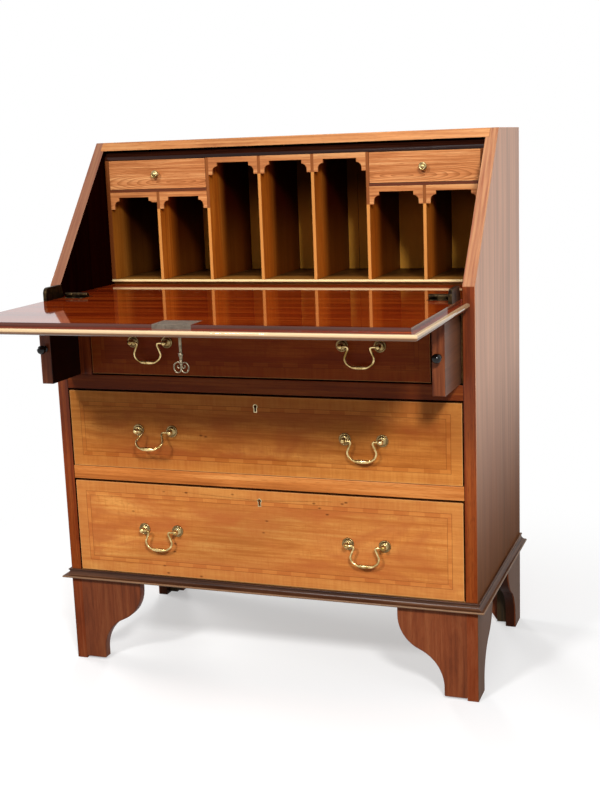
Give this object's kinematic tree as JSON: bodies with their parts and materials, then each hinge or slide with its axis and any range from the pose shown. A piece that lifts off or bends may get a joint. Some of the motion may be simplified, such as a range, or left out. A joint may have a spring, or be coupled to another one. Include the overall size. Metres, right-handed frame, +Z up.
{
  "type": "secretary desk",
  "caption": "Slant-front bureau with a drop writing fall on pull-out lopers, long drawers with swan-neck brass bails, fitted pigeonhole nest and ogee bracket feet",
  "frame": {"origin": "on the floor under the middle of the open desk's overall box", "axes": "+X to the right seen from the front, +Y from the front to the back, +Z up"},
  "size_m": [0.828, 0.763, 0.992],
  "materials": {
    "mahogany_carcass": "french polished mahogany, red-brown",
    "veneered_front": "polished figured mahogany veneer with banding",
    "nest_oak": "stained satin wood, warm brown",
    "drawer_lining": "planed bare wood",
    "pine_structure": "bare softwood, darkened with age",
    "aged_brass": "aged polished brass",
    "lock_steel": "worn bright steel",
    "ebonised_knob": "black ebonised turned wood"
  },
  "bodies": {
    "carcass": {"back_boards": "pine_structure", "base_moulding": "mahogany_carcass", "bottom_board": "pine_structure", "drawer_rail_lower": "mahogany_carcass", "drawer_rail_upper": "mahogany_carcass", "drawer_runners": "pine_structure", "foot_blocks": "pine_structure", "foot_brackets_back": "pine_structure", "foot_brackets_front": "mahogany_carcass", "foot_brackets_side": "mahogany_carcass", "hinge_leaves_flat": "aged_brass", "loper_partitions": "mahogany_carcass", "nest_base": "nest_oak", "nest_dividers": "nest_oak", "nest_drawer_shelves": "nest_oak", "nest_ends": "nest_oak", "nest_top": "nest_oak", "nest_valances": "nest_oak", "side_left": "mahogany_carcass", "side_right": "mahogany_carcass", "top_board": "mahogany_carcass", "writing_flat": "mahogany_carcass"},
    "fall": {"fall_board": "mahogany_carcass", "hinge_leaves_fall": "aged_brass", "fall_arms": "aged_brass", "fall_lock_case": "lock_steel"},
    "fall_bolt": {"fall_lock_bolt": "lock_steel"},
    "key": {"fall_key": "aged_brass"},
    "loper_left_body": {"loper_left": "mahogany_carcass", "loper_left_knob": "ebonised_knob"},
    "loper_right_body": {"loper_right": "mahogany_carcass", "loper_right_knob": "ebonised_knob"},
    "top_drawer": {"top_drawer_front": "veneered_front", "top_drawer_sides": "drawer_lining", "top_drawer_bottom": "drawer_lining", "top_drawer_handle_posts": "aged_brass"},
    "top_left_bail": {"top_drawer_bail_left": "aged_brass"},
    "top_right_bail": {"top_drawer_bail_right": "aged_brass"},
    "middle_drawer": {"middle_drawer_front": "veneered_front", "middle_drawer_sides": "drawer_lining", "middle_drawer_bottom": "drawer_lining", "middle_drawer_handle_posts": "aged_brass", "middle_drawer_lock": "aged_brass"},
    "middle_left_bail": {"middle_drawer_bail_left": "aged_brass"},
    "middle_right_bail": {"middle_drawer_bail_right": "aged_brass"},
    "middle_bolt": {"middle_drawer_lock_bolt": "lock_steel"},
    "bottom_drawer": {"bottom_drawer_front": "veneered_front", "bottom_drawer_sides": "drawer_lining", "bottom_drawer_bottom": "drawer_lining", "bottom_drawer_handle_posts": "aged_brass", "bottom_drawer_lock": "aged_brass"},
    "bottom_left_bail": {"bottom_drawer_bail_left": "aged_brass"},
    "bottom_right_bail": {"bottom_drawer_bail_right": "aged_brass"},
    "bottom_bolt": {"bottom_drawer_lock_bolt": "lock_steel"},
    "small_drawer_left": {"small_drawer_left_front": "nest_oak", "small_drawer_left_tray": "drawer_lining", "small_drawer_left_knob": "aged_brass"},
    "small_drawer_right": {"small_drawer_right_front": "nest_oak", "small_drawer_right_tray": "drawer_lining", "small_drawer_right_knob": "aged_brass"}
  },
  "joints": [
    {"name": "fall_hinge", "type": "hinge", "parent": "carcass", "child": "fall", "pos_m": [0, -0.03449, 0.7186], "axis": [1, 0, 0], "range_deg": [-129.89, 0]},
    {"name": "key_turn", "type": "hinge", "parent": "fall", "child": "key", "pos_m": [0, -0.32984, 0.697], "axis": [0, 0, -1], "range_deg": [0, 180]},
    {"name": "fall_bolt_slide", "type": "slide", "parent": "fall", "child": "fall_bolt", "axis": [0, -1, 0], "range_m": [0, 0.008]},
    {"name": "loper_left_slide", "type": "slide", "parent": "carcass", "child": "loper_left_body", "axis": [0, -1, 0], "range_m": [-0.1, 0.12]},
    {"name": "loper_right_slide", "type": "slide", "parent": "carcass", "child": "loper_right_body", "axis": [0, -1, 0], "range_m": [-0.1, 0.12]},
    {"name": "top_drawer_slide", "type": "slide", "parent": "carcass", "child": "top_drawer", "axis": [0, -1, 0], "range_m": [0, 0.27]},
    {"name": "top_left_bail_swing", "type": "hinge", "parent": "top_drawer", "child": "top_left_bail", "pos_m": [-0.201, -0.04749, 0.63275], "axis": [-1, 0, 0], "range_deg": [-13, 95]},
    {"name": "top_right_bail_swing", "type": "hinge", "parent": "top_drawer", "child": "top_right_bail", "pos_m": [0.201, -0.04749, 0.63275], "axis": [-1, 0, 0], "range_deg": [-13, 95]},
    {"name": "middle_drawer_slide", "type": "slide", "parent": "carcass", "child": "middle_drawer", "axis": [0, -1, 0], "range_m": [0, 0.27]},
    {"name": "middle_left_bail_swing", "type": "hinge", "parent": "middle_drawer", "child": "middle_left_bail", "pos_m": [-0.201, -0.04749, 0.4665], "axis": [-1, 0, 0], "range_deg": [-55, 53]},
    {"name": "middle_right_bail_swing", "type": "hinge", "parent": "middle_drawer", "child": "middle_right_bail", "pos_m": [0.201, -0.04749, 0.4665], "axis": [-1, 0, 0], "range_deg": [-13, 95]},
    {"name": "middle_bolt_rise", "type": "slide", "parent": "middle_drawer", "child": "middle_bolt", "axis": [0, 0, 1], "range_m": [0, 0.009]},
    {"name": "bottom_drawer_slide", "type": "slide", "parent": "carcass", "child": "bottom_drawer", "axis": [0, -1, 0], "range_m": [0, 0.27]},
    {"name": "bottom_left_bail_swing", "type": "hinge", "parent": "bottom_drawer", "child": "bottom_left_bail", "pos_m": [-0.201, -0.04749, 0.27525], "axis": [-1, 0, 0], "range_deg": [-13, 95]},
    {"name": "bottom_right_bail_swing", "type": "hinge", "parent": "bottom_drawer", "child": "bottom_right_bail", "pos_m": [0.201, -0.04749, 0.27525], "axis": [-1, 0, 0], "range_deg": [-13, 95]},
    {"name": "bottom_bolt_rise", "type": "slide", "parent": "bottom_drawer", "child": "bottom_bolt", "axis": [0, 0, 1], "range_m": [0, 0.009]},
    {"name": "small_drawer_left_slide", "type": "slide", "parent": "carcass", "child": "small_drawer_left", "axis": [0, -1, 0], "range_m": [0, 0.12]},
    {"name": "small_drawer_right_slide", "type": "slide", "parent": "carcass", "child": "small_drawer_right", "axis": [0, -1, 0], "range_m": [0, 0.12]}
  ],
  "couplings": [
    {"joint": "key_turn", "follows": "fall_bolt_slide", "rad_per_m": 392.69}
  ]
}
